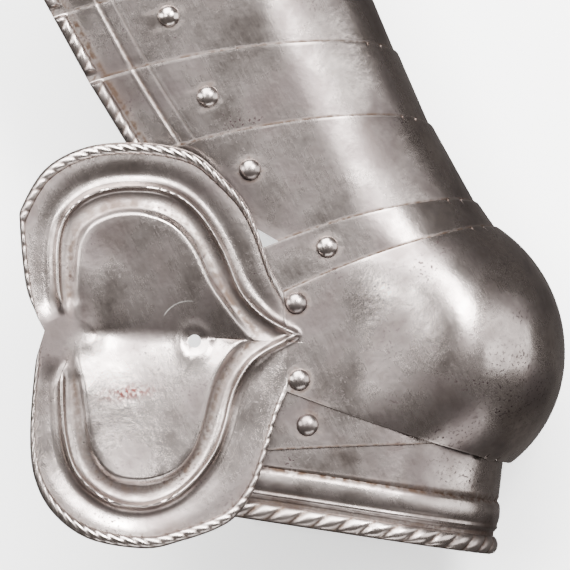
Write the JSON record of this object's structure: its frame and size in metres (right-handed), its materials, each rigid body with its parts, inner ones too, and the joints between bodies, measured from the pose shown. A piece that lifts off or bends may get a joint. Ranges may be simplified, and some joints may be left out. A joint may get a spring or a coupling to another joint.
{
  "type": "articulated cuisse",
  "caption": "Steel thigh defence of nested lames on pivot rivets, with a domed knee cup, a large heart-shaped side wing with roped edges, and short shin plates.",
  "frame": {"origin": "on the floor below the middle of the whole object as it lies on its inner side", "axes": "+X towards the front of the thigh, +Y up the thigh, away from the knee, +Z towards the leg's outer side, away from the floor"},
  "size_m": [0.271, 0.4322, 0.1505],
  "materials": {
    "plate_steel": "satin",
    "rivet_steel": "satin"
  },
  "bodies": {
    "thigh_plate": {"thigh_plate": "plate_steel"},
    "first_lame": {"first_lame": "plate_steel", "thigh_rivet_outer": "rivet_steel", "thigh_rivet_inner": "rivet_steel"},
    "second_lame": {"second_lame": "plate_steel", "first_rivet_outer": "rivet_steel", "first_rivet_inner": "rivet_steel"},
    "third_lame": {"third_lame": "plate_steel", "second_rivet_outer": "rivet_steel", "second_rivet_inner": "rivet_steel"},
    "fourth_lame": {"fourth_lame": "plate_steel", "third_rivet_outer": "rivet_steel", "third_rivet_inner": "rivet_steel"},
    "knee_cup": {"knee_cup": "plate_steel", "knee_top_rivet_outer": "rivet_steel", "knee_top_rivet_inner": "rivet_steel", "knee_foot_rivet_outer": "rivet_steel", "knee_foot_rivet_inner": "rivet_steel"},
    "shin_cover": {"shin_cover": "plate_steel", "shin_rivet_outer": "rivet_steel", "shin_rivet_inner": "rivet_steel"},
    "shin_plate": {"shin_plate": "plate_steel"}
  },
  "joints": [
    {"name": "first_lame_pivot", "type": "hinge", "parent": "thigh_plate", "child": "first_lame", "pos_m": [0.02869, 0.09715, 0.0692], "axis": [0, 0, -1], "range_deg": [-2, 2]},
    {"name": "second_lame_pivot", "type": "hinge", "parent": "first_lame", "child": "second_lame", "pos_m": [0.02799, 0.05265, 0.0692], "axis": [0, 0, -1], "range_deg": [-2, 2]},
    {"name": "third_lame_pivot", "type": "hinge", "parent": "second_lame", "child": "third_lame", "pos_m": [0.03029, 0.01065, 0.0692], "axis": [0, 0, -1], "range_deg": [-2, 2]},
    {"name": "fourth_lame_pivot", "type": "hinge", "parent": "third_lame", "child": "fourth_lame", "pos_m": [0.04719, -0.04105, 0.0692], "axis": [0, 0, -1], "range_deg": [-3, 6]},
    {"name": "knee_cup_pivot", "type": "hinge", "parent": "fourth_lame", "child": "knee_cup", "pos_m": [0.02075, -0.05914, 0.0692], "axis": [0, 0, -1], "range_deg": [-5, 10]},
    {"name": "shin_cover_pivot", "type": "hinge", "parent": "knee_cup", "child": "shin_cover", "pos_m": [0.00485, -0.0938, 0.0692], "axis": [0, 0, -1], "range_deg": [-1, 12]},
    {"name": "shin_plate_pivot", "type": "hinge", "parent": "shin_cover", "child": "shin_plate", "pos_m": [-0.00158, -0.11576, 0.0692], "axis": [0, 0, -1], "range_deg": [-1, 8]}
  ]
}
